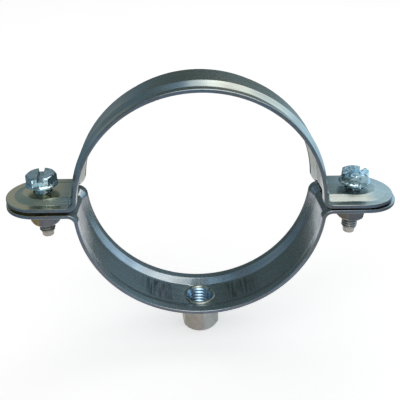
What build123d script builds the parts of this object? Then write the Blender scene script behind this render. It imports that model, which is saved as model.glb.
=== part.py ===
from build123d import *
import math
import os

# A two-part pipe clamp, pressed from zinc-plated steel strip. Millimetres.
# The origin is the middle of the pipe seat. +Y runs along the pipe, +Z is up
# and the ears point along +X and -X. The clamp is loosely put together: the
# screw heads and the nuts stand off the ears.

# The pipe seat and the strip that both halves are pressed from.
seat_radius = 45.0
strip_width = 25.5
strip_thickness = 1.4
strip_edge_radius = 0.3

# The rib, a flat top between two slopes, pressed outward along each half.
rib_height = 1.4
rib_top_width = 12.6
rib_slope_run = 3.4
rib_crease_radius = 1.5

# The ears: how far each runs on past its screw, its bend out of the ring, and
# the gap between the two pairs.
upper_left_overhang = 13.7
upper_right_overhang = 14.7
lower_left_overhang = 13.9
lower_right_overhang = 15.9
ear_bend_radius = 2.5
ear_gap = 1.0
upper_half_tilt = 0.3

# The ear screws: flanged hexagon heads with a driver slot from flat to flat.
screw_spacing = 118.6
screw_diameter = 6.0
screw_length = 22.0
screw_point_diameter = 4.5
screw_point_length = 2.0
screw_point_rounding = 0.5
thread_run_out = 0.7
screw_point_recess_diameter = 2.4
screw_point_recess_depth = 0.6
screw_hole_clearance = 0.4
flange_diameter = 12.0
flange_thickness = 1.1
head_across_flats = 10.0
head_height = 4.3
head_corner_chamfer = 0.8
head_taper = 35.0
slot_width = 2.2
slot_depth = 1.5
slot_to_corner = 30.0
left_head_stand_off = 2.8
right_head_stand_off = 2.3
left_head_angle = 97.0
right_head_angle = 41.5

# The hexagon nuts on the screws.
nut_across_flats = 10.0
nut_height = 5.0
nut_thread_clearance = 0.06
nut_corner_chamfer = 1.1
nut_taper = 45.0
nut_mouth_chamfer = 0.4
nut_stand_off = 1.5
left_nut_angle = 15.0
right_nut_angle = 3.0

# The threaded boss: a long hexagon nut swaged through the lower half.
boss_across_flats = 14.0
boss_height = 12.0
boss_bore_diameter = 8.5
boss_foot_chamfer = 1.3
boss_foot_taper = 54.0
boss_mouth_chamfer = 0.7
boss_angle = 39.0
spigot_diameter = 10.8
spigot_clearance = 0.03
swage_diameter = 12.3
swage_depth = 0.9
swage_rise = 0.25
swage_rounding = 0.2
swage_mouth_diameter = 11.4
swage_mouth_depth = 1.3
dimple_diameter = 16.0
dimple_depth = 0.2

# Places worked out from the sizes above.
rib_top_half = rib_top_width / 2
rib_foot_half = rib_top_half + rib_slope_run
strip_half = strip_width / 2
ear_face = ear_gap / 2
ear_rib_top = ear_face + strip_thickness + rib_height
bend_centre_z = ear_face + strip_thickness + ear_bend_radius
bend_centre_distance = seat_radius + strip_thickness + ear_bend_radius
bend_centre_x = math.sqrt(bend_centre_distance**2 - bend_centre_z**2)
bend_start_angle = math.degrees(math.asin(bend_centre_z / bend_centre_distance))
ring_sweep = 180 - 2 * bend_start_angle
screw_x = screw_spacing / 2
screw_hole_radius = screw_diameter / 2 + screw_hole_clearance
rib_inner_radius = seat_radius + rib_height
rib_outer_radius = rib_inner_radius + strip_thickness


def strip_section():
    """The strip's cross-section: local X across the strip, local Y outward."""
    underside = [
        (-strip_half, 0),
        (-rib_foot_half, 0),
        (-rib_top_half, rib_height),
        (rib_top_half, rib_height),
        (rib_foot_half, 0),
        (strip_half, 0),
    ]
    top_side = [(across, out + strip_thickness) for across, out in reversed(underside)]
    section = make_face(Polyline(*underside, *top_side, close=True))
    creases = section.vertices().filter_by(lambda v: abs(v.X) < rib_foot_half + strip_edge_radius)
    section = fillet(creases, rib_crease_radius)
    corners = section.vertices().filter_by(lambda v: abs(v.X) > strip_half - strip_edge_radius / 2)
    return fillet(corners, strip_edge_radius)


def placed_section(section, x, z):
    """The section standing across the strip at x, its inner face at z."""
    return Plane((x, 0, z), x_dir=(0, 1, 0), z_dir=(1, 0, 0)) * section


def ear(section, overhang):
    """The right ear: a straight stretch, then the round end about its centre."""
    ear_round_centre = screw_x + overhang - strip_half
    straight = extrude(
        placed_section(section, bend_centre_x, ear_face),
        amount=ear_round_centre - bend_centre_x,
        dir=(1, 0, 0),
    )
    front_half = section & Pos(-strip_half, 0) * Rectangle(strip_width, 4 * strip_width)
    round_axis = Axis((ear_round_centre, 0, 0), (0, 0, 1))
    round_end = revolve(placed_section(front_half, ear_round_centre, ear_face), round_axis, 180)
    hole = Pos(screw_x, 0, ear_rib_top) * Cylinder(screw_hole_radius, 4 * ear_rib_top)
    return straight + round_end - hole


def bend_and_ear(section, overhang):
    """The right side of a half: the bend out of the ring, then the ear."""
    crown = placed_section(section, 0, seat_radius)
    bend_axis = Axis((bend_centre_x, 0, bend_centre_z), (0, -1, 0))
    bend = revolve(Rot(0, ring_sweep / 2, 0) * crown, bend_axis, 90 - bend_start_angle)
    return bend + ear(section, overhang)


def strap_half(left_overhang, right_overhang):
    """One pressed half, open side down: half ring, two bends and two ears."""
    section = strip_section()
    crown = placed_section(section, 0, seat_radius)
    ring = revolve(Rot(0, -ring_sweep / 2, 0) * crown, Axis.Y, ring_sweep)
    left_side = mirror(bend_and_ear(section, left_overhang), Plane.YZ)
    return ring + bend_and_ear(section, right_overhang) + left_side


def upper_strap():
    """The upper half, turned a little so that its left ears stand further apart."""
    return Rot(0, upper_half_tilt, 0) * strap_half(upper_left_overhang, upper_right_overhang)


def flared_spigot(clearance):
    """The boss's spigot, flared in the strap's hole and proud of it inside the ring."""
    inside = -rib_inner_radius + swage_rise
    swage_radius = swage_diameter / 2 + clearance
    spigot_radius = spigot_diameter / 2 + clearance
    outline = [
        (0, -rib_outer_radius),
        (spigot_radius, -rib_outer_radius),
        (spigot_radius, -rib_inner_radius - swage_depth),
        (swage_radius, -rib_inner_radius - dimple_depth),
        (swage_radius, inside),
        (0, inside),
    ]
    return revolve(make_face(Plane.XZ * Polyline(*outline, close=True)), Axis.Z)


def dimple():
    """The cutter for the shallow dish pressed round the spigot, inside the ring."""
    floor = -rib_inner_radius - dimple_depth
    outline = [
        (0, floor),
        (swage_diameter / 2, floor),
        (dimple_diameter / 2, -rib_inner_radius),
        (dimple_diameter / 2, -seat_radius),
        (0, -seat_radius),
    ]
    return revolve(make_face(Plane.XZ * Polyline(*outline, close=True)), Axis.Z)


def lower_strap():
    """The lower half, with the dished hole that the boss is swaged into."""
    half = mirror(strap_half(lower_left_overhang, lower_right_overhang), Plane.XY)
    return half - flared_spigot(spigot_clearance) - dimple()


def hexagon_prism(across_flats, height, top_chamfer, foot_chamfer, taper):
    """A hexagon prism on z = 0, the corners at its ends turned off by cones."""
    corner_radius = across_flats / math.sqrt(3)
    prism = extrude(RegularPolygon(corner_radius, 6), height)
    steepness = math.tan(math.radians(taper))
    outline = [(0, 0), (corner_radius - foot_chamfer, 0)]
    if foot_chamfer > 0:
        outline.append((corner_radius, foot_chamfer * steepness))
    if top_chamfer > 0:
        outline.append((corner_radius, height - top_chamfer * steepness))
    outline += [(corner_radius - top_chamfer, height), (0, height)]
    turned = revolve(make_face(Plane.XZ * Polyline(*outline, close=True)), Axis.Z)
    return prism & turned


def ear_screw():
    """An ear screw: z = 0 under the flange, the shank down and the head up."""
    thread_end = screw_point_length + thread_run_out - screw_length
    outline = [
        (0, 0),
        (screw_diameter / 2, 0),
        (screw_diameter / 2, thread_end),
        (screw_point_diameter / 2, screw_point_length - screw_length),
        (screw_point_diameter / 2, -screw_length),
        (0, -screw_length),
    ]
    shank = revolve(make_face(Plane.XZ * Polyline(*outline, close=True)), Axis.Z)
    shank = fillet(shank.edges().group_by(Axis.Z)[0], screw_point_rounding)
    flange = Pos(0, 0, flange_thickness / 2) * Cylinder(flange_diameter / 2, flange_thickness)
    flange = chamfer(flange.edges().group_by(Axis.Z)[-1], flange_thickness / 2)
    hexagon = Pos(0, 0, flange_thickness) * Rot(0, 0, slot_to_corner) * hexagon_prism(
        head_across_flats, head_height - flange_thickness, head_corner_chamfer, 0, head_taper
    )
    slot = Pos(0, 0, head_height) * Box(2 * flange_diameter, slot_width, 2 * slot_depth)
    recess = Pos(0, 0, -screw_length) * Cylinder(
        screw_point_recess_diameter / 2, 2 * screw_point_recess_depth
    )
    return shank + flange + hexagon - slot - recess


def placed_screw(side, stand_off, head_angle):
    """A screw in the ear pair on one side, its head standing off the upper ear."""
    ear_lift = -side * screw_x * math.sin(math.radians(upper_half_tilt))
    seat_z = ear_rib_top * math.cos(math.radians(upper_half_tilt)) + ear_lift
    return Pos(side * screw_x, 0, seat_z + stand_off) * Rot(0, 0, head_angle) * ear_screw()


def placed_nut(side, angle):
    """A nut on one screw, standing off the lower ear."""
    nut = hexagon_prism(
        nut_across_flats, nut_height, nut_corner_chamfer, nut_corner_chamfer, nut_taper
    )
    bore_radius = screw_diameter / 2 + nut_thread_clearance
    nut -= Pos(0, 0, nut_height / 2) * Cylinder(bore_radius, 2 * nut_height)
    mouths = nut.edges().filter_by(GeomType.CIRCLE).filter_by(
        lambda edge: abs(edge.radius - bore_radius) < nut_thread_clearance / 2
    )
    nut = chamfer(mouths, nut_mouth_chamfer)
    nut_top = -(ear_rib_top + nut_stand_off)
    return Pos(side * screw_x, 0, nut_top - nut_height) * Rot(0, 0, angle) * nut


def countersink(mouth_radius, bore_radius, depth):
    """The cutter for a conical mouth that opens on z = 0 and narrows upward."""
    outline = [(0, 0), (mouth_radius, 0), (bore_radius, depth), (0, depth)]
    return revolve(Plane.XZ * make_face(Polyline(*outline, close=True)), Axis.Z)


def threaded_boss():
    """The boss under the lower half, its spigot swaged over inside the ring."""
    foot_z = -rib_outer_radius - boss_height
    hexagon = Pos(0, 0, foot_z) * Rot(0, 0, boss_angle) * hexagon_prism(
        boss_across_flats, boss_height, 0, boss_foot_chamfer, boss_foot_taper
    )
    spigot = flared_spigot(0)
    spigot = fillet(spigot.edges().group_by(Axis.Z)[-1], swage_rounding)
    bore_radius = boss_bore_diameter / 2
    bore = Pos(0, 0, -rib_outer_radius) * Cylinder(bore_radius, 4 * boss_height)
    mouth = Pos(0, 0, -rib_inner_radius + swage_rise) * Rot(180, 0, 0) * countersink(
        swage_mouth_diameter / 2, bore_radius, swage_mouth_depth
    )
    foot_mouth = bore_radius + boss_mouth_chamfer
    foot = Pos(0, 0, foot_z) * countersink(foot_mouth, bore_radius, boss_mouth_chamfer)
    return hexagon + spigot - bore - mouth - foot


def main():
    nodes = {
        "upper_strap": upper_strap(),
        "lower_strap": lower_strap(),
        "threaded_boss": threaded_boss(),
        "left_screw": placed_screw(-1, left_head_stand_off, left_head_angle),
        "right_screw": placed_screw(1, right_head_stand_off, right_head_angle),
        "left_nut": placed_nut(-1, left_nut_angle),
        "right_nut": placed_nut(1, right_nut_angle),
    }
    os.makedirs("parts", exist_ok=True)
    for name, shape in nodes.items():
        export_step(shape, f"parts/{name}.step")


main()
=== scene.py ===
"""A two-part pipe clamp of zinc-plated steel strip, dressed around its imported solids.

The straps are swept from the strip's rounded section, the screws and the boss get
their threads, and every finish is made of shader nodes. All lengths are in metres.
"""

import logging
import math
from collections.abc import Callable, Sequence
from dataclasses import dataclass, replace
from enum import Enum

import bmesh
import bpy
from mathutils import Matrix, Vector


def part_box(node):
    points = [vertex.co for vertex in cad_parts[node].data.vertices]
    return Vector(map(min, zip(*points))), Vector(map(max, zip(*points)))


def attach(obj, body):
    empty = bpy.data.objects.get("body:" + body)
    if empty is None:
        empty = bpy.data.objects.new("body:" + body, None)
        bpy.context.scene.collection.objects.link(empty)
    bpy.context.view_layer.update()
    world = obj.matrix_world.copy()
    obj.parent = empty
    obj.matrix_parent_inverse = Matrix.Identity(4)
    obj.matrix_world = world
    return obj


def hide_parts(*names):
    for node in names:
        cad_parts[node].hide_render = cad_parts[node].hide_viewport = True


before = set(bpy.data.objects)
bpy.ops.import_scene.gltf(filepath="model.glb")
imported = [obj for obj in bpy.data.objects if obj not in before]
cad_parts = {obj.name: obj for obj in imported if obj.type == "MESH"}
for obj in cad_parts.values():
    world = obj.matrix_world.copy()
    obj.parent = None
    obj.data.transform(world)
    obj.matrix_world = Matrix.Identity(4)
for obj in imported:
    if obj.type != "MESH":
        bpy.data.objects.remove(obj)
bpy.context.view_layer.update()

MM = 0.001
RING_RADIUS = 45.0 * MM
WELD_DISTANCE = 0.002 * MM
SLIVER_LENGTH = 0.0005 * MM
HEX_SIDES = 6
HEX_HALF_SIDE = 30.0
LOG = logging.getLogger("pipe_clamp")

Point2 = tuple[float, float]
Triple = tuple[float, float, float]
Piece = bpy.types.Object
Socket = bpy.types.NodeSocket


class Named(Enum):
    """A choice that the names of nodes and bodies start with."""

    @property
    def word(self) -> str:
        """The choice's name in small letters."""
        return self.name.lower()


class Side(Named):
    """The two sides of the clamp, by the sign of X."""

    LEFT = -1
    RIGHT = 1


class Half(Named):
    """The two pressed halves, by the sign of Z that they lie on."""

    LOWER = -1
    UPPER = 1


class Cut(Enum):
    """What a boolean does with its tool."""

    AWAY = "DIFFERENCE"
    COMMON = "INTERSECT"
    JOIN = "UNION"


# --------------------------------------------------------------- mesh helpers


def mesh_piece(name: str, verts: list[Vector], faces: list[list[int]]) -> Piece:
    """Makes a linked object from vertices and faces, with doubled vertices welded.

    Args:
        name: The piece's name.
        verts: Vertex places in the row frame.
        faces: Vertex indices of each face.

    Returns:
        The new object.
    """
    mesh = bpy.data.meshes.new(name)
    mesh.from_pydata([tuple(v) for v in verts], [], faces)
    tidy = bmesh.new()
    tidy.from_mesh(mesh)
    bmesh.ops.remove_doubles(tidy, verts=tidy.verts, dist=WELD_DISTANCE)
    bmesh.ops.dissolve_degenerate(tidy, edges=tidy.edges, dist=SLIVER_LENGTH)
    bmesh.ops.recalc_face_normals(tidy, faces=tidy.faces)
    tidy.to_mesh(mesh)
    tidy.free()
    piece = bpy.data.objects.new(name, mesh)
    bpy.context.scene.collection.objects.link(piece)
    return piece


def turned(name: str, profile: list[Point2], steps: int = 96) -> Piece:
    """Turns a profile about the Z axis into a closed solid.

    Args:
        name: The piece's name.
        profile: (radius, z) pairs in metres, from one end of the axis to the other.
        steps: How many steps make the full turn.

    Returns:
        The turned solid.
    """
    verts: list[Vector] = []
    faces: list[list[int]] = []
    for step in range(steps):
        angle = 2 * math.pi * step / steps
        verts += [Vector((r * math.cos(angle), r * math.sin(angle), z)) for r, z in profile]
    count = len(profile)
    for step in range(steps):
        here, there = step * count, (step + 1) % steps * count
        for k in range(count - 1):
            faces.append([here + k, there + k, there + k + 1, here + k + 1])
    return mesh_piece(name, verts, faces)


def corner_radius(across_flats: float) -> float:
    """How far a hexagon's corners are from its middle."""
    return across_flats / math.sqrt(3)


def hexagon(name: str, across_flats: float, bottom: float, top: float) -> Piece:
    """Makes a hexagon prism about the Z axis with a corner on +X.

    Args:
        name: The piece's name.
        across_flats: The hexagon's size.
        bottom: The height of its lower end.
        top: The height of its upper end.

    Returns:
        The prism.
    """
    corner = corner_radius(across_flats)
    turns = [2 * math.pi * k / HEX_SIDES for k in range(HEX_SIDES)]
    ring = [(corner * math.cos(turn), corner * math.sin(turn)) for turn in turns]
    verts = [Vector((x, y, z)) for z in (bottom, top) for x, y in ring]
    low_ring, high_ring = list(range(HEX_SIDES)), list(range(HEX_SIDES, 2 * HEX_SIDES))
    faces = [low_ring[::-1], high_ring]
    for k in low_ring:
        after = (k + 1) % HEX_SIDES
        faces.append([k, after, after + HEX_SIDES, k + HEX_SIDES])
    return mesh_piece(name, verts, faces)


def block(name: str, size: Vector, centre: Vector) -> Piece:
    """Makes a box.

    Args:
        name: The piece's name.
        size: Its length along each axis.
        centre: Its middle.

    Returns:
        The box.
    """
    corners = [Vector((x, y, z)) / 2 for x in (-1, 1) for y in (-1, 1) for z in (-1, 1)]
    verts = [centre + Vector(a * b for a, b in zip(corner, size)) for corner in corners]
    faces = [[0, 1, 3, 2], [4, 6, 7, 5], [0, 4, 5, 1], [2, 3, 7, 6], [0, 2, 6, 4], [1, 5, 7, 3]]
    return mesh_piece(name, verts, faces)


def arc(centre: Point2, radius: float, sweep: Point2, steps: int) -> list[Point2]:
    """Lays points on an arc.

    Args:
        centre: The arc's centre.
        radius: Its radius.
        sweep: The angles where it starts and ends, in degrees.
        steps: How many steps it is made in.

    Returns:
        The points, both ends included.
    """
    start, end = sweep
    turns = [math.radians(start + (end - start) * k / steps) for k in range(steps + 1)]
    return [(centre[0] + radius * math.cos(t), centre[1] + radius * math.sin(t)) for t in turns]


def settle(piece: Piece) -> None:
    """Makes the modifiers of a piece part of its mesh.

    Args:
        piece: The piece.
    """
    depsgraph = bpy.context.evaluated_depsgraph_get()
    mesh = bpy.data.meshes.new_from_object(piece.evaluated_get(depsgraph))
    piece.modifiers.clear()
    piece.data = mesh


def combine(piece: Piece, tool: Piece, cut: Cut) -> None:
    """Cuts, trims or joins a piece with a tool.

    Args:
        piece: The piece.
        tool: The tool, which is used up.
        cut: What the tool does.
    """
    boolean = piece.modifiers.new(cut.name, "BOOLEAN")
    boolean.operation = cut.value
    boolean.solver = "EXACT"
    boolean.object = tool
    settle(piece)
    bpy.data.objects.remove(tool)


def knock_corners_off(
    piece: Piece, corner: float, heights: Point2, chamfer: Point2, ends: tuple[bool, bool]
) -> None:
    """Turns a hexagon's corners down to a cone at its ends.

    Args:
        piece: The hexagon.
        corner: How far its corners are from the Z axis.
        heights: Where its lower and upper ends are.
        chamfer: How much comes off the corners' radius, and the cone's taper in degrees.
        ends: Whether the lower end is turned down, and whether the upper end is.
    """
    low, high = heights
    rim = corner - chamfer[0]
    drop = chamfer[0] * math.tan(math.radians(chamfer[1]))
    foot = [(rim, low), (corner, low + drop)] if ends[0] else [(corner, low)]
    head = [(corner, high - drop), (rim, high)] if ends[1] else [(corner, high)]
    combine(piece, turned("barrel", [(0, low), *foot, *head, (0, high)]), Cut.COMMON)


def bevelled(piece: Piece, width: float, angle: float = 25.0, segments: int = 3) -> None:
    """Rounds the sharp arrises of a piece.

    Args:
        piece: The piece.
        width: How wide the rounding is.
        angle: The least angle of an arris that is rounded, in degrees.
        segments: How many facets it is rounded in.
    """
    bevel = piece.modifiers.new("arris", "BEVEL")
    bevel.width = width
    bevel.segments = segments
    bevel.limit_method = "ANGLE"
    bevel.angle_limit = math.radians(angle)
    settle(piece)


def smoothed(piece: Piece, angle: float = 40.0) -> None:
    """Smooths a piece's shading and keeps its flats flat.

    Args:
        piece: The piece.
        angle: The angle up to which its faces run into each other, in degrees.
    """
    piece.data.shade_smooth()
    piece.data.set_sharp_from_angle(angle=math.radians(angle))
    weigh = piece.modifiers.new("flats", "WEIGHTED_NORMAL")
    weigh.keep_sharp = True
    settle(piece)


def spin(piece: Piece, degrees: float, axis: str = "Z") -> None:
    """Turns a piece's mesh about an axis through the origin."""
    piece.data.transform(Matrix.Rotation(math.radians(degrees), 4, axis))


def shift(piece: Piece, way: Triple) -> None:
    """Moves a piece's mesh, so that its object stays at the origin."""
    piece.data.transform(Matrix.Translation(way))


# --------------------------------------------------------------- node helpers


@dataclass(frozen=True)
class Noise:
    """A noise in a finish.

    Attributes:
        rates: How often it repeats in a metre along each axis.
        detail: How many finer noises are added to it.
    """

    rates: Triple
    detail: float


@dataclass(frozen=True)
class Wiring:
    """A node tree, and the kinds of node that the finishes and the studio are made of.

    Attributes:
        tree: The node tree.
    """

    tree: bpy.types.NodeTree

    def feed(self, socket: Socket, value: Socket | float | Sequence[float]) -> None:
        """Links a value to a socket, or sets it there where it is plain.

        Args:
            socket: The socket that takes the value.
            value: A node's output, a number or a row of numbers.
        """
        if isinstance(value, Socket):
            self.tree.links.new(value, socket)
        else:
            socket.default_value = value

    def fill(self, node: bpy.types.Node, values: dict[str, object]) -> None:
        """Feeds a node's inputs by their names."""
        for name, value in values.items():
            self.feed(node.inputs[name], value)

    def place(self) -> Socket:
        """The place in the piece's own frame."""
        return self.tree.nodes.new("ShaderNodeTexCoord").outputs["Object"]

    def split(self, place: Socket) -> tuple[Socket, Socket, Socket]:
        """Takes a place apart.

        Args:
            place: The place.

        Returns:
            Its X, Y and Z.
        """
        node = self.tree.nodes.new("ShaderNodeSeparateXYZ")
        self.feed(node.inputs[0], place)
        return tuple(node.outputs)

    def reckon(self, operation: str, first: Socket, second: Socket | float = 0.0) -> Socket:
        """Reckons with one or two numbers.

        Args:
            operation: What the math node does.
            first: Its first number.
            second: Its second number.

        Returns:
            The result.
        """
        node = self.tree.nodes.new("ShaderNodeMath")
        node.operation = operation
        self.feed(node.inputs[0], first)
        self.feed(node.inputs[1], second)
        return node.outputs[0]

    def vector(self, operation: str, *values: Socket | Sequence[float]) -> Socket:
        """Reckons with vectors.

        Args:
            operation: What the vector math node does.
            values: Its vectors.

        Returns:
            The result, which is a number for a dot product.
        """
        node = self.tree.nodes.new("ShaderNodeVectorMath")
        node.operation = operation
        for socket, value in zip(node.inputs, values):
            self.feed(socket, value)
        return node.outputs["Value" if operation == "DOT_PRODUCT" else "Vector"]

    def noise(self, place: Socket, noise: Noise) -> Socket:
        """Adds a noise.

        Args:
            place: Where it is looked up.
            noise: How it repeats.

        Returns:
            The noise, from 0 to 1.
        """
        node = self.tree.nodes.new("ShaderNodeTexNoise")
        stretched = self.vector("MULTIPLY", place, noise.rates)
        self.fill(node, {"Scale": 1.0, "Detail": noise.detail, "Vector": stretched})
        return node.outputs["Fac"]

    def span(self, value: Socket, source: Point2, target: Point2 = (0.0, 1.0)) -> Socket:
        """Maps a value from one span to another, smoothly and clamped.

        Args:
            value: The value.
            source: The span that it comes from.
            target: The span that it goes to.

        Returns:
            The mapped value.
        """
        node = self.tree.nodes.new("ShaderNodeMapRange")
        node.interpolation_type = "SMOOTHSTEP"
        ends = dict(zip(("From Min", "From Max", "To Min", "To Max"), source + target))
        self.fill(node, {"Value": value, **ends})
        return node.outputs["Result"]

    def mix(
        self, share: Socket, first: Socket | Sequence[float], second: Sequence[float]
    ) -> Socket:
        """Mixes two colours.

        Args:
            share: How much of the second colour there is.
            first: The first colour.
            second: The second colour.

        Returns:
            The mixed colour.
        """
        node = self.tree.nodes.new("ShaderNodeMix")
        node.data_type = "RGBA"
        self.fill(node, {"Factor": share, "A": first, "B": second})
        return node.outputs["Result"]

    def shaded(self, colour: Socket, level: Socket) -> Socket:
        """Makes a colour darker or brighter.

        Args:
            colour: The colour.
            level: How bright it becomes, where 1 leaves it as it is.

        Returns:
            The shaded colour.
        """
        node = self.tree.nodes.new("ShaderNodeHueSaturation")
        self.fill(node, {"Color": colour, "Value": level})
        return node.outputs["Color"]


def new_material(name: str) -> tuple[bpy.types.Material, Wiring, bpy.types.Node]:
    """Makes a node material.

    Args:
        name: The material's name.

    Returns:
        The material, its wiring and its shader.
    """
    material = bpy.data.materials.new(name)
    material.use_nodes = True
    tree = material.node_tree
    return material, Wiring(tree), tree.nodes["Principled BSDF"]


def grey(level: float) -> tuple[float, float, float, float]:
    """An opaque grey of a level."""
    return (level, level, level, 1.0)


# ------------------------------------------------------------------- finishes


class Grain(Enum):
    """How the marks of rolling or turning run over a surface, by their streaks."""

    ROUND_THE_RING = Noise((70.0, 900.0, 20.0), 4.0)
    CAST = Noise((420.0, 420.0, 420.0), 4.0)


@dataclass(frozen=True)
class Scuffs:
    """The dark scuffs inside the lower half, in a patch either side of the boss.

    Attributes:
        middle: How far a patch's middle is from the boss.
        along: Where a patch starts and ends to fade along the strip, from its middle.
        across: Where it starts and ends to fade across the strip.
        up: The heights over which it fades out towards the upper half.
        marks: The scuffs' noise.
        edges: The span of that noise in which a scuff fades in.
        darkness: How much darker the darkest scuff is.
    """

    middle: float = 17 * MM
    along: Point2 = (3 * MM, 9 * MM)
    across: Point2 = (4 * MM, 6.5 * MM)
    up: Point2 = (-1.0 * MM, 1.0 * MM)
    marks: Noise = Noise((1300.0, 90.0, 90.0), 3.0)
    edges: Point2 = (0.4, 0.62)
    darkness: float = 0.62

    def over(self, wires: Wiring, colour: Socket, place: Socket) -> Socket:
        """Lays the scuffs over a colour.

        Args:
            wires: The material's wiring.
            colour: The colour.
            place: The place along, across and up on the strap.

        Returns:
            The scuffed colour.
        """
        x, y, z = wires.split(place)
        off_middle = wires.reckon("SUBTRACT", wires.reckon("ABSOLUTE", x), self.middle)
        amount = wires.span(wires.noise(place, self.marks), self.edges)
        for share in (
            wires.span(wires.reckon("ABSOLUTE", off_middle), self.along, (-self.darkness, 0.0)),
            wires.span(wires.reckon("ABSOLUTE", y), self.across, (1.0, 0.0)),
            wires.span(z, self.up, (1.0, 0.0)),
        ):
            amount = wires.reckon("MULTIPLY", amount, share)
        return wires.shaded(colour, wires.reckon("ADD", amount, 1.0))


@dataclass(frozen=True)
class EarSheen:
    """The warmer, brighter colour out on the left ears: a painted reflection of warm light there.

    Attributes:
        colour: The painted reflection's colour.
        fade: How far left of the clamp's middle it starts and is full.
        share: How much of the plating's colour it covers there.
    """

    colour: Triple
    fade: Point2 = (46 * MM, 56 * MM)
    share: float = 0.9

    def over(self, wires: Wiring, colour: Socket) -> Socket:
        """Lays the painted warm reflection over a colour.

        Args:
            wires: The material's wiring.
            colour: The colour.

        Returns:
            The colour with the painted reflection on it.
        """
        # Painted reflection: the colour turns warmer and brighter out to the left.
        leftward = wires.reckon("MULTIPLY", wires.split(wires.place())[0], -1.0)
        share = wires.span(leftward, self.fade, (0.0, self.share))
        return wires.mix(share, colour, (*self.colour, 1.0))


@dataclass(frozen=True)
class Zinc:
    """A zinc-plated steel finish, made of nodes.

    Attributes:
        name: The material's name.
        colour: The plating's colour.
        stain: The colour that it drifts to in cloudy patches.
        roughness: The mean roughness.
        spread: How far the roughness wanders either way.
        grain: How the marks run.
        marks: How deep the fine marks are, in metres.
        waviness: How deep the slow waves in the surface are, in metres.
        wave_rate: How many waves lie in a metre.
        ear_sheen: The painted warm reflection on the left ears, or None where there are none.
        clouds: The noise of the cloudy patches.
        cloud_edges: The span of that noise in which the stain fades in.
        streak_edges: The span of the streaks' noise that changes the colour.
        streak_levels: How dark and how bright the streaks are.
        specks: The noise of the fine specks.
        rough_edges: The span of clouds and specks that changes the roughness.
    """

    name: str
    colour: Triple
    stain: Triple
    roughness: float
    spread: float = 0.06
    grain: Grain = Grain.CAST
    marks: float = 0.02 * MM
    waviness: float = 0.05 * MM
    wave_rate: float = 110.0
    ear_sheen: EarSheen | None = None
    clouds: Noise = Noise((60.0, 60.0, 60.0), 3.0)
    cloud_edges: Point2 = (0.35, 0.65)
    streak_edges: Point2 = (0.3, 0.7)
    streak_levels: Point2 = (0.9, 1.1)
    specks: Noise = Noise((2600.0, 2600.0, 2600.0), 2.0)
    rough_edges: Point2 = (0.7, 1.3)

    def material(self) -> bpy.types.Material:
        """Builds the material.

        Returns:
            The node material, ready to go into a slot.
        """
        material, wires, shader = new_material(self.name)
        place = self._place(wires)
        clouds = wires.noise(place, self.clouds)
        streaks = wires.noise(place, self.grain.value)
        specks = wires.noise(place, self.specks)
        wander = (self.roughness - self.spread, self.roughness + self.spread)
        roughness = wires.span(wires.reckon("ADD", clouds, specks), self.rough_edges, wander)
        finish = {
            "Metallic": 1.0,
            "Base Color": self._colour(wires, place, clouds, streaks),
            "Roughness": roughness,
            "Normal": self._bump(wires, place, streaks, specks),
        }
        wires.fill(shader, finish)
        return material

    def _place(self, wires: Wiring) -> Socket:
        """Finds the place that the noises are looked up at.

        Args:
            wires: The material's wiring.

        Returns:
            The place along, across and up on a strap, and the plain place elsewhere.
        """
        where = wires.place()
        if self.grain is Grain.CAST:
            return where
        x, y, z = wires.split(where)
        angle = wires.reckon("ARCTAN2", x, wires.reckon("ABSOLUTE", z))
        unrolled = wires.tree.nodes.new("ShaderNodeCombineXYZ")
        wires.fill(unrolled, {"X": wires.reckon("MULTIPLY", angle, RING_RADIUS), "Y": y, "Z": z})
        return unrolled.outputs[0]

    def _colour(self, wires: Wiring, place: Socket, clouds: Socket, streaks: Socket) -> Socket:
        """Makes the plating's colour, cloudy, faintly streaked, and on a strap scuffed and given
        the painted warm reflection on the left ears.

        Args:
            wires: The material's wiring.
            place: The place on the surface.
            clouds: The clouds' noise.
            streaks: The streaks' noise.

        Returns:
            The colour.
        """
        share = wires.span(clouds, self.cloud_edges)
        cloudy = wires.mix(share, (*self.colour, 1.0), (*self.stain, 1.0))
        colour = wires.shaded(cloudy, wires.span(streaks, self.streak_edges, self.streak_levels))
        if self.ear_sheen is not None:
            colour = Scuffs().over(wires, self.ear_sheen.over(wires, colour), place)
        return colour

    def _bump(self, wires: Wiring, place: Socket, streaks: Socket, specks: Socket) -> Socket:
        """Makes the slow waves and the fine marks, as bump.

        Args:
            wires: The material's wiring.
            place: The place on the surface.
            streaks: The streaks' noise.
            specks: The specks' noise.

        Returns:
            The bumped normal.
        """
        waves = wires.noise(place, Noise((self.wave_rate,) * 3, 1.0))
        levels = ((waves, self.waviness), (streaks, self.marks), (specks, self.marks / 2))
        normal = None
        for height, depth in levels:
            bump = wires.tree.nodes.new("ShaderNodeBump")
            wires.fill(bump, {"Distance": depth, "Height": height})
            if normal is not None:
                wires.feed(bump.inputs["Normal"], normal)
            normal = bump.outputs["Normal"]
        return normal


STRAP_ZINC = Zinc(
    name="strap_zinc",
    colour=(0.385, 0.42, 0.42),
    stain=(0.345, 0.36, 0.33),
    roughness=0.25,
    spread=0.05,
    grain=Grain.ROUND_THE_RING,
    marks=0.010 * MM,
    waviness=0.10 * MM,
    # The left ears get a painted warm reflection: a brighter, warmer colour.
    ear_sheen=EarSheen((0.60, 0.54, 0.375)),
)
# The lower half's copy of the strap's finish, bluer: a painted bluish reflection on its inner
# face.
LOWER_STRAP_BLUE_SHEEN_ZINC = replace(STRAP_ZINC, colour=(0.375, 0.43, 0.465), stain=(0.35, 0.37, 0.40))
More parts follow.
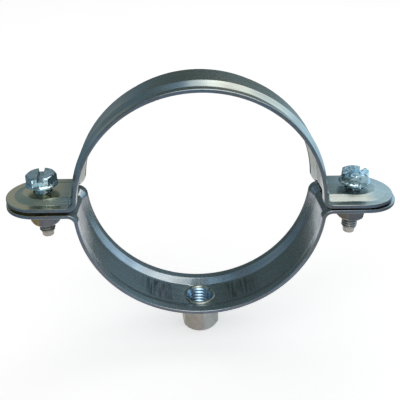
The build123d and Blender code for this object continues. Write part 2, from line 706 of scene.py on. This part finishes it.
# The sheared edge's finish, dark: painted shade on the strip's cut edges.
EDGE_ZINC = Zinc(
    name="edge_zinc", colour=(0.13, 0.155, 0.20), stain=(0.14, 0.145, 0.155), roughness=0.34
)
SCREW_ZINC = Zinc(
    name="screw_zinc",
    colour=(0.62, 0.77, 0.84),
    stain=(0.38, 0.48, 0.52),
    roughness=0.19,
    waviness=0.45 * MM,
    wave_rate=600.0,
)
THREAD_ZINC = Zinc(
    name="thread_zinc", colour=(0.40, 0.40, 0.40), stain=(0.28, 0.22, 0.15), roughness=0.30
)
# The nuts' plating, darkened: painted shade for the nuts under the lower ears.
NUT_ZINC = Zinc(
    name="nut_zinc",
    colour=(0.115, 0.125, 0.15),
    stain=(0.14, 0.125, 0.11),
    roughness=0.28,
    waviness=0.12 * MM,
    wave_rate=250.0,
)
# Painted warm reflections on the nuts' left-facing flats: gold on the left nut, tan on the right.
GOLD_ZINC = replace(
    NUT_ZINC, name="gold_zinc", colour=(0.80, 0.50, 0.17), stain=(0.50, 0.30, 0.11)
)
TAN_ZINC = replace(
    NUT_ZINC, name="tan_zinc", colour=(0.34, 0.29, 0.23), stain=(0.26, 0.21, 0.16)
)
# The boss's facets are coloured by the way they face, as painted reflection: browner facing left,
# greyer facing right.
BOSS_ZINC = Zinc(
    name="boss_zinc",
    colour=(0.34, 0.31, 0.295),
    stain=(0.30, 0.28, 0.235),
    roughness=0.36,
    spread=0.05,
    marks=0.015 * MM,
    waviness=0.08 * MM,
)
RIGHT_SHEEN_BOSS_ZINC = replace(
    BOSS_ZINC, name="right_sheen_boss_zinc", colour=(0.345, 0.37, 0.37), stain=(0.33, 0.34, 0.33)
)
LIP_ZINC = replace(
    BOSS_ZINC, name="lip_zinc", colour=(0.40, 0.42, 0.38), stain=(0.38, 0.38, 0.30), roughness=0.24
)
# The bore, coloured bright blue: a painted reflection of blue light in the threaded hole.
BORE_BLUE_SHEEN_ZINC = Zinc(
    name="bore_blue_sheen_zinc",
    colour=(0.30, 0.46, 0.62),
    stain=(0.30, 0.40, 0.50),
    roughness=0.24,
    spread=0.05,
    marks=0.01 * MM,
)


def dress(
    piece: Piece,
    body: str,
    node: str,
    finishes: Sequence[Zinc],
    choose: Callable[[bpy.types.MeshPolygon], int],
) -> None:
    """Gives a piece its finishes, its body and the node that it stands for.

    Args:
        piece: The piece.
        body: The body that it rides on.
        node: The node that it replaces.
        finishes: Its finishes, the main one first.
        choose: Says by its place among them which finish a face has.
    """
    main_finish, *others = finishes
    piece.data.materials.clear()
    piece.data.materials.append(main_finish.material())
    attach(piece, body)
    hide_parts(node)
    for finish in others:
        piece.data.materials.append(finish.material())
    for face in piece.data.polygons:
        face.material_index = choose(face)
    faces = len(piece.data.polygons)
    LOG.info("%s rides on %s for node %s: %d faces", piece.name, body, node, faces)


# --------------------------------------------------------------------- straps


def outward(angle: float) -> Vector:
    """The way out of the ring at an angle from its top, in radians."""
    return Vector((math.sin(angle), 0, math.cos(angle)))


@dataclass
class Strap:
    """One pressed half of the clamp: half ring, two bends and two ears.

    Attributes:
        half: Which half it is.
        left_reach: How far the left ear's tip is from the ring's middle.
        right_reach: How far the right ear's tip is from the ring's middle.
        tilt: How far the half is turned about the pipe's axis, in degrees.
        sheared: The part of the edge's rounding that the sheared finish, darkened with painted
            shade, reaches into.
        ring_step: The angle between two of the ring's sections, in degrees.
    """

    half: Half
    left_reach: float
    right_reach: float
    tilt: float = 0.0
    width: float = 25.5 * MM
    thickness: float = 1.4 * MM
    edge_radius: float = 0.3 * MM
    edge_steps: int = 5
    sheared: float = 0.15
    rib_height: float = 1.4 * MM
    rib_half: float = 6.3 * MM
    rib_run: float = 3.4 * MM
    crease_radius: float = 2.0 * MM
    crease_steps: int = 6
    bend_radius: float = 2.5 * MM
    ear_face: float = 0.5 * MM
    hole_x: float = 59.3 * MM
    hole_radius: float = 3.4 * MM
    hole_arris: float = 0.25 * MM
    ring_step: float = 0.6
    flat_steps: int = 12
    bend_steps: int = 16
    round_steps: int = 48

    def build(self) -> Piece:
        """Sweeps the half, cuts its holes and puts it in place.

        Returns:
            The dressed strap.
        """
        verts: list[Vector] = []
        faces: list[list[int]] = []
        self._sweep(verts, faces)
        for side in Side:
            self._round_end(side, verts, faces)
        strap = mesh_piece(f"{self.half.word}_half_ring", verts, faces)
        for side in Side:
            combine(strap, self._ear_hole(side), Cut.AWAY)
        if self.half is Half.LOWER:
            self._press_dimple(strap)
            combine(strap, BOSS.spigot_tool(), Cut.AWAY)
        else:
            spin(strap, self.tilt, "Y")
        smoothed(strap)
        zinc = STRAP_ZINC if self.half is Half.UPPER else LOWER_STRAP_BLUE_SHEEN_ZINC
        body, node = f"{self.half.word}_half", f"{self.half.word}_strap"
        dress(strap, body, node, (zinc, EDGE_ZINC), lambda face: int(self._on_edge(face.center)))
        return strap

    def _round_centre(self, side: Side) -> float:
        """How far the centre of an ear's round end is from the ring's middle."""
        reach = self.left_reach if side is Side.LEFT else self.right_reach
        return reach - self.width / 2

    def _on_edge(self, place: Vector) -> bool:
        """Tells the strip's sheared edge, round the ears' ends too, which takes the dark finish
        with painted shade.

        Args:
            place: A place on the strap.

        Returns:
            Whether it is on the edge.
        """
        side = Side.LEFT if place.x < 0 else Side.RIGHT
        past_centre = max(0.0, abs(place.x) - self._round_centre(side))
        across = math.hypot(past_centre, place.y)
        return across > self.width / 2 - self.sheared * self.edge_radius

    def _half_outline(self) -> list[Point2]:
        """Draws half the strip's outline, as (across, outward).

        Returns:
            Points from the outer face's middle, over the edge, to the inner face's middle.
        """
        slope = math.atan2(self.rib_height, self.rib_run)
        degrees = math.degrees(slope)
        crease, edge = self.crease_radius, self.edge_radius
        reach = crease * math.tan(slope / 2)
        limit = self.width / 2 - edge
        top_end = self.rib_half - reach
        foot = self.rib_half + self.rib_run + reach
        flat = [(top_end * k / self.flat_steps, self.rib_height) for k in range(self.flat_steps)]
        top = (top_end, self.rib_height - crease)
        top_bend = arc(top, crease, (90, 90 - degrees), self.crease_steps)
        foot_bend = arc((foot, crease), crease, (270 - degrees, 270), self.crease_steps)
        line = [*flat, *top_bend, *foot_bend, (limit, 0.0)]
        outer_arc = arc((limit, self.thickness - edge), edge, (90, 0), self.edge_steps)
        inner_arc = arc((limit, edge), edge, (0, -90), self.edge_steps)
        outer = [(y, n + self.thickness) for y, n in line]
        return [*outer[:-1], *outer_arc, *inner_arc, *reversed(line[:-1])]

    def _section(self) -> list[Point2]:
        """The strip's whole closed outline."""
        back = self._half_outline()
        return back + [(-y, n) for y, n in reversed(back)][1:-1]

    def _stations(self) -> list[tuple[Vector, Vector]]:
        """Finds where the sweep's sections stand.

        Returns:
            Pairs of a place on the inner face and the way out of it, from left to right,
            for the upper half.
        """
        bend_out = self.bend_radius + self.thickness
        far = RING_RADIUS + self.thickness + self.bend_radius
        out_z = self.ear_face + self.thickness + self.bend_radius
        bend_x = math.sqrt(far**2 - out_z**2)
        arch = 90 - math.degrees(math.asin(out_z / far))
        steps = round(arch / self.ring_step)
        right: list[tuple[Vector, Vector]] = []
        for k in range(steps + 1):
            out = outward(math.radians(arch * k / steps))
            right.append((out * RING_RADIUS, out))
        centre = Vector((bend_x, 0, out_z))
        for k in range(1, self.bend_steps + 1):
            out = outward(math.radians(arch * (1 - k / self.bend_steps)))
            right.append((centre - out * bend_out, out))
        mirror = [(Vector((-p.x, 0, p.z)), Vector((-o.x, 0, o.z))) for p, o in reversed(right)]
        left_end, right_end = (
            (Vector((side.value * self._round_centre(side), 0, self.ear_face)), outward(0.0))
            for side in Side
        )
        return [left_end, *mirror[:-1], *right, right_end]

    def _flip(self, point: Vector) -> Vector:
        """A point of the upper half, or its image in the lower half."""
        return Vector((point.x, point.y, point.z * self.half.value))

    def _sweep(self, verts: list[Vector], faces: list[list[int]]) -> None:
        """Adds the ring, the bends and the ears' straight stretches.

        Args:
            verts: The strap's vertices, which it adds to.
            faces: The strap's faces, which it adds to.
        """
        section = self._section()
        stations = self._stations()
        count = len(section)
        for place, out in stations:
            verts += [self._flip(place + out * n + Vector((0, y, 0))) for y, n in section]
        for station in range(len(stations) - 1):
            here, there = station * count, (station + 1) * count
            for k in range(count):
                after = (k + 1) % count
                faces.append([here + k, here + after, there + after, there + k])

    def _round_end(self, side: Side, verts: list[Vector], faces: list[list[int]]) -> None:
        """Adds an ear's round end: half the section, turned half round.

        Args:
            side: Which ear it is.
            verts: The strap's vertices, which it adds to.
            faces: The strap's faces, which it adds to.
        """
        outline = self._half_outline()
        centre = Vector((side.value * self._round_centre(side), 0, self.ear_face))
        base, count = len(verts), len(outline)
        for step in range(self.round_steps + 1):
            angle = math.pi * step / self.round_steps
            for y, n in outline:
                around = Vector((side.value * y * math.sin(angle), y * math.cos(angle), n))
                verts.append(self._flip(centre + around))
        for step in range(self.round_steps):
            here, there = base + step * count, base + (step + 1) * count
            faces += [[here + k, there + k, there + k + 1, here + k + 1] for k in range(count - 1)]

    def _ear_hole(self, side: Side) -> Piece:
        """Makes the tool for an ear's screw hole, flared at both faces to break the arris.

        Args:
            side: Which ear it is for.

        Returns:
            The tool.
        """
        low = self.ear_face + self.rib_height
        high = low + self.thickness
        wide = self.hole_radius + self.hole_arris
        rows = (
            (0.0, low - self.width),
            (wide, low - self.width),
            (wide, low),
            (self.hole_radius, low + self.hole_arris),
            (self.hole_radius, high - self.hole_arris),
            (wide, high),
            (wide, high + self.width),
            (0.0, high + self.width),
        )
        tool = turned("hole_tool", [(radius, z * self.half.value) for radius, z in rows])
        shift(tool, (side.value * self.hole_x, 0, 0))
        return tool

    def _press_dimple(self, strap: Piece) -> None:
        """Presses a shallow dish into the inner face round the boss's spigot.

        Args:
            strap: The lower strap.
        """
        inner_limit = RING_RADIUS + self.rib_height + self.thickness / 2
        slope = BOSS.dimple_radius - BOSS.swage_radius
        for vertex in strap.data.vertices:
            far = math.hypot(vertex.co.x, vertex.co.y)
            inside = math.hypot(vertex.co.x, vertex.co.z) < inner_limit
            if inside and vertex.co.z < 0 and far < BOSS.dimple_radius:
                beyond = max(0.0, far - BOSS.swage_radius) / slope
                vertex.co.z -= BOSS.dimple_depth * (0.5 + 0.5 * math.cos(math.pi * beyond))


# ------------------------------------------------------------------- hardware


@dataclass
class Thread:
    """A cut or rolled thread as a helical surface round the Z axis.

    Attributes:
        crest: The radius at the thread's crests.
        root: The radius at its roots.
        pitch: How far it climbs in one turn.
        bottom: The height of its lower end.
        top: The height of its upper end.
        fade: The length at each end over which it sinks to the root.
        flank: The share of the pitch that each flank takes.
        crest_flat: The share of the pitch that the crest takes.
    """

    crest: float
    root: float
    pitch: float
    bottom: float
    top: float
    fade: float
    flank: float = 0.36
    crest_flat: float = 0.16
    per_pitch: int = 10
    per_turn: int = 60

    def _radius(self, phase: float, z: float) -> float:
        """Finds the surface's radius.

        Args:
            phase: How many turns into the thread the point is.
            z: The point's height.

        Returns:
            The radius there, faded near the thread's ends.
        """
        down = abs((phase % 1.0) - 0.5) * 2
        share = min(1.0, max(0.0, (down - self.crest_flat) / (2 * self.flank)))
        radius = self.crest + (self.root - self.crest) * share
        near = min(z - self.bottom, self.top - z) / self.fade
        return self.root + (radius - self.root) * min(1.0, max(0.0, near))

    def solid(self, name: str) -> Piece:
        """Builds the threaded rod.

        Args:
            name: The piece's name.

        Returns:
            A closed solid with flat ends.
        """
        rows = round((self.top - self.bottom) / self.pitch * self.per_pitch)
        verts: list[Vector] = []
        faces: list[list[int]] = []
        for row in range(rows + 1):
            z = self.bottom + (self.top - self.bottom) * row / rows
            for step in range(self.per_turn):
                angle = 2 * math.pi * step / self.per_turn
                radius = self._radius((z - self.bottom) / self.pitch - step / self.per_turn, z)
                verts.append(Vector((radius * math.cos(angle), radius * math.sin(angle), z)))
        for row in range(rows):
            here, above = row * self.per_turn, (row + 1) * self.per_turn
            for step in range(self.per_turn):
                after = (step + 1) % self.per_turn
                faces.append([here + step, here + after, above + after, above + step])
        faces.append(list(range(self.per_turn - 1, -1, -1)))
        faces.append(list(range(rows * self.per_turn, (rows + 1) * self.per_turn)))
        return mesh_piece(name, verts, faces)


@dataclass
class EarScrew:
    """An ear screw: a flanged hexagon head with a driver slot, a thread and a plain point.

    Attributes:
        side: Which ear it is in.
        head_angle: How far it is turned, in degrees.
    """

    side: Side
    head_angle: float
    across_flats: float = 10.0 * MM
    head_height: float = 4.3 * MM
    head_arris: float = 0.14 * MM
    flange_radius: float = 6.0 * MM
    flange_thickness: float = 1.1 * MM
    corner_chamfer: float = 0.8 * MM
    corner_taper: float = 35.0
    slot_width: float = 2.2 * MM
    slot_depth: float = 1.5 * MM
    length: float = 22.0 * MM
    radius: float = 3.0 * MM
    root: float = 2.5 * MM
    pitch: float = 1.0 * MM
    thread_fade: float = 0.7 * MM
    plain_neck: float = 1.2 * MM
    point_radius: float = 2.25 * MM
    point_length: float = 2.0 * MM
    point_shoulder: float = 0.3 * MM
    point_rounding: float = 0.5 * MM
    rounding_steps: int = 6
    recess_radius: float = 1.2 * MM
    recess_floor: float = 0.48 * MM
    recess_depth: float = 0.6 * MM

    def build(self) -> Piece:
        """Builds the screw where its node is.

        Returns:
            The dressed screw.
        """
        node = f"{self.side.word}_screw"
        low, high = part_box(node)
        screw = self._head()
        combine(screw, self._shank(), Cut.JOIN)
        smoothed(screw)
        middle = (Vector(low) + Vector(high)) / 2
        spin(screw, self.head_angle)
        shift(screw, (middle.x, 0, high[2] - self.head_height))
        screw.name = f"{self.side.word}_ear_screw"
        finishes = (SCREW_ZINC, THREAD_ZINC)
        dress(screw, node, node, finishes, lambda face: int(face.center.z < 0.0))
        return screw

    def _head(self) -> Piece:
        """Makes the head, its flange's underside on z = 0 and its slot along X.

        Returns:
            The head.
        """
        head = hexagon("head", self.across_flats, self.flange_thickness / 2, self.head_height)
        spin(head, HEX_HALF_SIDE)
        corner = corner_radius(self.across_flats)
        chamfer = (self.corner_chamfer, self.corner_taper)
        knock_corners_off(head, corner, (0, self.head_height), chamfer, (False, True))
        slot_size = Vector((4 * self.flange_radius, self.slot_width, 2 * self.slot_depth))
        combine(head, block("slot", slot_size, Vector((0, 0, self.head_height))), Cut.AWAY)
        combine(head, self._flange(), Cut.JOIN)
        bevelled(head, self.head_arris)
        return head

    def _flange(self) -> Piece:
        """Makes the flange, thinner towards its rim.

        Returns:
            The flange.
        """
        rim = self.flange_thickness / 2
        profile = [
            (0, 0),
            (self.flange_radius, 0),
            (self.flange_radius, rim),
            (self.flange_radius - rim, self.flange_thickness),
            (0, self.flange_thickness),
        ]
        return turned("flange", profile)

    def _shank(self) -> Piece:
        """Makes the threaded shank, from inside the flange down to the recessed point.

        Returns:
            The shank.
        """
        overlap = self.flange_thickness / 3
        thread_end = self.point_length - self.length
        thread = Thread(
            crest=self.radius,
            root=self.root,
            pitch=self.pitch,
            bottom=thread_end,
            top=-self.plain_neck,
            fade=self.thread_fade,
        )
        shank = thread.solid("shank")
        neck_end = -self.plain_neck - self.pitch / 2
        neck = [(0, overlap), (self.radius, overlap), (self.radius, -self.plain_neck)]
        neck += [(self.root, neck_end), (0, neck_end)]
        combine(shank, turned("neck", neck), Cut.JOIN)
        combine(shank, self._point(thread_end), Cut.JOIN)
        return shank

    def _point(self, thread_end: float) -> Piece:
        """Makes the plain point, rounded at its end, with the small dish left by rolling.

        Args:
            thread_end: The height at which the thread ends.

        Returns:
            The point.
        """
        end, rounding = -self.length, self.point_rounding
        start = thread_end + self.pitch / 2
        centre = (self.point_radius - rounding, end + rounding)
        profile = [
            (0, start),
            (self.root, start),
            (self.root, thread_end),
            (self.point_radius, thread_end - self.point_shoulder),
            *arc(centre, rounding, (0, -90), self.rounding_steps),
            (self.recess_radius, end),
            (self.recess_floor, end + self.recess_depth),
            (0, end + self.recess_depth),
        ]
        return turned("point", profile)


@dataclass
class EarNut:
    """A hexagon nut on an ear screw.

    Attributes:
        side: Which ear it is under.
        angle: How far it is turned, in degrees.
        left_sheen: The finish of its left-facing flats, a painted warm reflection.
        sheen_facing: How far to the left a face must look to take that painted reflection.
    """

    side: Side
    angle: float
    left_sheen: Zinc
    sheen_facing: float = 0.3
    across_flats: float = 10.0 * MM
    height: float = 5.0 * MM
    bore_radius: float = 3.06 * MM
    mouth: float = 0.4 * MM
    corner_chamfer: float = 1.1 * MM
    corner_taper: float = 45.0
    arris: float = 0.1 * MM
    arris_angle: float = 20.0

    def build(self) -> Piece:
        """Builds the nut where its node is.

        Returns:
            The dressed nut.
        """
        node = f"{self.side.word}_nut"
        low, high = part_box(node)
        nut = hexagon(f"{self.side.word}_ear_nut", self.across_flats, 0, self.height)
        corner = corner_radius(self.across_flats)
        chamfer = (self.corner_chamfer, self.corner_taper)
        knock_corners_off(nut, corner, (0, self.height), chamfer, (True, True))
        wide = self.bore_radius + self.mouth
        bore = [(0, -self.mouth), (wide, -self.mouth), (wide, 0), (self.bore_radius, self.mouth)]
        bore += [(self.bore_radius, self.height - self.mouth), (wide, self.height)]
        bore += [(wide, self.height + self.mouth), (0, self.height + self.mouth)]
        combine(nut, turned("bore", bore), Cut.AWAY)
        bevelled(nut, self.arris, self.arris_angle)
        smoothed(nut)
        middle = (Vector(low) + Vector(high)) / 2
        spin(nut, self.angle)
        shift(nut, (middle.x, 0, low[2]))
        finishes = (NUT_ZINC, self.left_sheen)
        # The left-facing flats take the painted reflection.
        dress(nut, node, node, finishes, lambda face: int(face.normal.x < -self.sheen_facing))
        return nut


class BossFace(Enum):
    """The boss's finishes, by their order in its slots; left and right are painted reflections by
    facing.
    """

    LEFT = 0
    RIGHT = 1
    LIP = 2
    BORE = 3


@dataclass
class Boss:
    """The hexagonal boss, swaged through the lower half, with a thread all through.

    Attributes:
        top: The height of the boss's shoulder, under the strap.
        angle: How far it is turned, in degrees.
        rightward: How far to the right a face must look to have the right-hand finish, a greyer
            painted reflection.
        face: The height of the rib's inner face over the boss.
        clearance: How much wider than the spigot its hole in the strap is.
    """

    across_flats: float = 14.0 * MM
    top: float = -47.8 * MM
    height: float = 12.0 * MM
    angle: float = 39.0
    arris: float = 0.22 * MM
    arris_angle: float = 20.0
    rightward: float = 0.2
    foot_chamfer: float = 1.3 * MM
    foot_taper: float = 54.0
    foot_mouth: float = 0.7 * MM
    thread_root: float = 4.25 * MM
    thread_crest: float = 4.9 * MM
    thread_fade: float = 0.15 * MM
    pitch: float = 1.5 * MM
    spigot_radius: float = 5.4 * MM
    swage_radius: float = 6.4 * MM
    swage_depth: float = 0.9 * MM
    swage_rise: float = 0.4 * MM
    swage_rounding: float = 0.55 * MM
    rounding_steps: int = 6
    face: float = -46.4 * MM
    mouth_radius: float = 5.4 * MM
    mouth_depth: float = 1.3 * MM
    dimple_radius: float = 8.0 * MM
    dimple_depth: float = 0.3 * MM
    clearance: float = 0.03 * MM

    def _spigot(self, clearance: float, sunk: float) -> list[Point2]:
        """Draws the spigot from inside the boss up to its swaged rim.

        Args:
            clearance: How much wider than the spigot the outline is.
            sunk: How far below the boss's shoulder it starts.

        Returns:
            Its (radius, z) pairs.
        """
        top, rounding = self.face + self.swage_rise, self.swage_rounding
        neck, wide = self.spigot_radius + clearance, self.swage_radius + clearance
        return [
            (0, self.top - sunk),
            (neck, self.top - sunk),
            (neck, self.face - self.swage_depth),
            (wide, self.face - self.dimple_depth),
            *arc((wide - rounding, top - rounding), rounding, (0, 90), self.rounding_steps),
            (0, top),
        ]

    def spigot_tool(self) -> Piece:
        """The tool that cuts the spigot's hole in the lower strap."""
        return turned("spigot_tool", self._spigot(self.clearance, self.clearance))

    def build(self) -> Piece:
        """Builds the boss under the lower half.

        Returns:
            The dressed boss.
        """
        foot = self.top - self.height
        boss = hexagon("rod_boss", self.across_flats, foot, self.top)
        spin(boss, self.angle)
        corner = corner_radius(self.across_flats)
        chamfer = (self.foot_chamfer, self.foot_taper)
        knock_corners_off(boss, corner, (foot, self.top), chamfer, (True, False))
        combine(boss, turned("spigot", self._spigot(0.0, self.swage_depth)), Cut.JOIN)
        bevelled(boss, self.arris, self.arris_angle)
        combine(boss, self._mouths(foot), Cut.AWAY)
        rod = Thread(
            crest=self.thread_crest,
            root=self.thread_root,
            pitch=self.pitch,
            bottom=foot - self.pitch,
            top=self.face + self.swage_rise + self.pitch,
            fade=self.thread_fade,
        )
        combine(boss, rod.solid("rod"), Cut.AWAY)
        smoothed(boss)
        finishes = (BOSS_ZINC, RIGHT_SHEEN_BOSS_ZINC, LIP_ZINC, BORE_BLUE_SHEEN_ZINC)
        dress(boss, "lower_half", "threaded_boss", finishes, lambda f: self._finish_of(f).value)
        return boss

    def _finish_of(self, face: bpy.types.MeshPolygon) -> BossFace:
        """Tells which finish a face has.

        Args:
            face: A face of the boss.

        Returns:
            Its finish.
        """
        if math.hypot(face.center.x, face.center.y) < self.thread_crest:
            return BossFace.BORE
        if face.center.z > self.top:
            return BossFace.LIP
        # Painted reflection: a facet's colour follows the way it faces.
        return BossFace.RIGHT if face.normal.x > self.rightward else BossFace.LEFT

    def _mouths(self, foot: float) -> Piece:
        """Makes the tool for the bore's two conical mouths.

        Args:
            foot: The height of the boss's lower end.

        Returns:
            The tool.
        """
        top = self.face + self.swage_rise
        wide = self.thread_root + self.foot_mouth
        slender = self.thread_root / 2
        profile = [
            (0, foot - self.pitch),
            (wide, foot - self.pitch),
            (wide, foot),
            (self.thread_root, foot + self.foot_mouth),
            (slender, foot + 2 * self.foot_mouth),
            (slender, top - 2 * self.mouth_depth),
            (self.thread_root, top - self.mouth_depth),
            (self.mouth_radius, top),
            (self.mouth_radius, top + self.pitch),
            (0, top + self.pitch),
        ]
        return turned("mouths", profile)


BOSS = Boss()


# --------------------------------------------------------------------- studio


@dataclass(frozen=True)
class Panel:
    """A lit patch of the tent, fading out all round.

    Attributes:
        azimuth: Its turn from the back towards the clamp's right, in degrees.
        elevation: Its height above the horizon, in degrees.
        spread: How far from its middle it fades to nothing, in degrees.
        colour: How bright its middle is.
    """

    azimuth: float
    elevation: float
    spread: float
    colour: Triple

    @property
    def direction(self) -> Vector:
        """Points to the panel's middle from the clamp.

        Returns:
            The way to it, of length 1.
        """
        turn, rise = math.radians(self.azimuth), math.radians(self.elevation)
        level = math.cos(rise)
        return Vector((math.sin(turn) * level, math.cos(turn) * level, math.sin(rise)))


@dataclass(frozen=True)
class Tent:
    """The round light tent over the clamp, which shows in its metal alone.

    Attributes:
        radius: The tent's radius at the clamp's middle.
        height: How high its top is above the clamp's middle.
        cloth: How bright the bare cloth is.
        panels: The lit patches.
    """

    radius: float = 125 * MM
    height: float = 625 * MM
    rows: int = 36
    columns: int = 48
    cloth: Triple = (0.10, 0.135, 0.13)
    panels: tuple[Panel, ...] = (
        Panel(36, 60, 16, (1.90, 1.85, 1.75)),
        Panel(13, 66, 14, (1.20, 1.18, 1.08)),
        Panel(68, 46, 22, (1.30, 1.40, 1.40)),
        Panel(74, 57, 13, (1.00, 0.95, 0.90)),
        Panel(67, 10, 34, (0.56, 0.80, 0.98)),
        Panel(68, 25, 20, (0.30, 0.40, 0.50)),
        Panel(30, 8, 40, (0.09, 0.13, 0.16)),
        Panel(-25, 76, 24, (0.17, 0.29, 0.43)),
        Panel(-66, 25, 48, (0.06, 0.12, 0.20)),
        Panel(-50, 22, 20, (0.20, 0.16, 0.10)),
        Panel(165, 60, 38, (3.00, 3.00, 3.00)),
        Panel(150, -20, 80, (0.50, 0.60, 0.65)),
        Panel(-130, -15, 60, (0.35, 0.48, 0.55)),
    )

    def build(self, floor_height: float) -> None:
        """Adds the tent.

        Args:
            floor_height: Where the tent's foot stands.
        """
        foot = math.asin(floor_height / self.height)
        rises = [foot + (math.pi / 2 - foot) * row / self.rows for row in range(self.rows)]
        profile = [(self.radius * math.cos(rise), self.height * math.sin(rise)) for rise in rises]
        tent = turned("tent", [*profile, (0.0, self.height)], self.columns)
        tent.data.materials.append(self._material())
        for sees in ("camera", "diffuse", "transmission", "shadow"):
            setattr(tent, f"visible_{sees}", False)

    def _material(self) -> bpy.types.Material:
        """Makes the glowing cloth: the bare cloth and each panel, added up.

        Returns:
            The material.
        """
        material, wires, shader = new_material("tent")
        where = wires.vector("NORMALIZE", wires.place())
        glow: Socket | Triple = self.cloth
        for panel in self.panels:
            near = wires.vector("DOT_PRODUCT", where, panel.direction)
            share = wires.span(near, (math.cos(math.radians(panel.spread)), 1.0))
            glow = wires.vector("MULTIPLY_ADD", share, panel.colour, glow)
        finish = {
            "Base Color": grey(0.0),
            "Specular IOR Level": 0.0,
            "Emission Color": glow,
            "Emission Strength": 1.0,
        }
        wires.fill(shader, finish)
        return material


@dataclass(frozen=True)
class Softbox:
    """A square softbox that faces the clamp.

    Attributes:
        name: The lamp's name.
        place: Where it stands.
        side: How long its sides are.
        radiance: How bright its face is.
    """

    name: str
    place: Triple
    side: float = 0.40
    radiance: float = 0.8

    def build(self) -> None:
        """Adds the softbox."""
        data = bpy.data.lights.new(self.name, "AREA")
        data.size = self.side
        data.energy = self.radiance * math.pi * self.side**2
        lamp = bpy.data.objects.new(self.name, data)
        lamp.location = self.place
        lamp.rotation_euler = Vector(self.place).to_track_quat("Z", "Y").to_euler()
        lamp.visible_glossy = False
        bpy.context.scene.collection.objects.link(lamp)


@dataclass
class Studio:
    """The floor, the light and the camera.

    Attributes:
        azimuth: The camera's turn round the clamp, in degrees, from straight ahead.
        elevation: How far the camera looks down, in degrees.
        roll: The camera's roll, in degrees.
        distance: How far the camera stands from its target.
        target: The point that the camera looks at.
        focal_length: The lens, in mm on the sensor.
        sensor: The sensor's width, in mm.
        lens_rise: The lens's shift, as a share of the frame.
        near_clip: The nearest that the camera sees.
        fill_level: How bright the world is on the clamp.
        floor_level: How pale the floor is in the light that it throws back.
        floor_glow: How much light is added to the floor where it shows.
        softboxes: The two lamps.
    """

    azimuth: float = -2.06
    elevation: float = 24.84
    roll: float = -0.09
    distance: float = 213.74 * MM
    target: Triple = (0.12 * MM, 0.0, 12.14 * MM)
    focal_length: float = 51.3
    sensor: float = 36.0
    lens_rise: float = -0.0821
    near_clip: float = 10 * MM
    floor_height: float = -59.8 * MM
    floor_size: float = 6.0
    floor_level: float = 0.8
    floor_roughness: float = 0.9
    floor_glow: float = 0.46
    fill_level: float = 0.5
    softboxes: tuple[Softbox, ...] = (
        Softbox("back_softbox", (0.30, 0.45, 0.60)),
        Softbox("front_softbox", (-0.30, -0.45, 0.60)),
    )

    def build(self) -> None:
        """Builds the whole studio."""
        bpy.context.scene.view_settings.view_transform = "Standard"
        self._camera()
        self._floor()
        self._world()
        for softbox in self.softboxes:
            softbox.build()
        Tent().build(self.floor_height)

    def _camera(self) -> None:
        """Adds the camera."""
        turn, rise, roll = (math.radians(a) for a in (self.azimuth, self.elevation, self.roll))
        level = math.cos(rise)
        back = Vector((math.sin(turn) * level, -math.cos(turn) * level, math.sin(rise)))
        right = Vector((math.cos(turn), math.sin(turn), 0))
        up = back.cross(right)
        right, up = (
            right * math.cos(roll) + up * math.sin(roll),
            up * math.cos(roll) - right * math.sin(roll),
        )
        data = bpy.data.cameras.new("camera")
        data.lens = self.focal_length
        data.sensor_width = self.sensor
        data.shift_y = self.lens_rise
        data.clip_start = self.near_clip
        camera = bpy.data.objects.new("camera", data)
        camera.matrix_world = Matrix((right, up, back)).transposed().to_4x4()
        camera.matrix_world.translation = Vector(self.target) + back * self.distance
        bpy.context.scene.collection.objects.link(camera)
        bpy.context.scene.camera = camera

    @staticmethod
    def _as_background(wires: Wiring) -> Socket:
        """Tells the rays that show the background: seen, mirrored in metal or through glass.

        Args:
            wires: The wiring of the floor or the world.

        Returns:
            1 for such a ray, 0 for the rest.
        """
        path = wires.tree.nodes.new("ShaderNodeLightPath").outputs
        shown = path["Is Camera Ray"]
        for name in ("Is Glossy Ray", "Is Transmission Ray"):
            shown = wires.reckon("MAXIMUM", shown, path[name])
        return shown

    def _floor(self) -> None:
        """Adds the plain pale floor."""
        half = self.floor_size / 2
        signs = ((-1, -1), (1, -1), (1, 1), (-1, 1))
        corners = [Vector((x * half, y * half, self.floor_height)) for x, y in signs]
        floor = mesh_piece("floor", corners, [[0, 1, 2, 3]])
        material, wires, shader = new_material("floor")
        shown = self._as_background(wires)
        finish = {
            "Base Color": wires.mix(shown, grey(self.floor_level), grey(1.0)),
            "Roughness": self.floor_roughness,
            "Specular IOR Level": 0.0,
            "Emission Color": grey(1.0),
            "Emission Strength": wires.reckon("MULTIPLY", shown, self.floor_glow),
        }
        wires.fill(shader, finish)
        floor.data.materials.append(material)

    def _world(self) -> None:
        """Adds the plain world: white behind the clamp, and a soft fill on it."""
        world = bpy.data.worlds.new("studio")
        bpy.context.scene.world = world
        world.use_nodes = True
        wires = Wiring(world.node_tree)
        shown = self._as_background(wires)
        light = wires.mix(shown, grey(self.fill_level), grey(1.0))
        wires.feed(world.node_tree.nodes["Background"].inputs["Color"], light)


def main() -> None:
    """Builds and dresses the clamp, then the studio round it."""
    logging.basicConfig(level=logging.INFO, format="%(name)s: %(message)s")
    Strap(Half.UPPER, left_reach=73.0 * MM, right_reach=74.0 * MM, tilt=0.3).build()
    Strap(Half.LOWER, left_reach=73.2 * MM, right_reach=75.2 * MM).build()
    BOSS.build()
    EarScrew(Side.LEFT, head_angle=97.0).build()
    EarScrew(Side.RIGHT, head_angle=41.5).build()
    EarNut(Side.LEFT, angle=15.0, left_sheen=GOLD_ZINC).build()
    EarNut(Side.RIGHT, angle=3.0, left_sheen=TAN_ZINC).build()
    Studio().build()


if __name__ == "__main__":
    main()
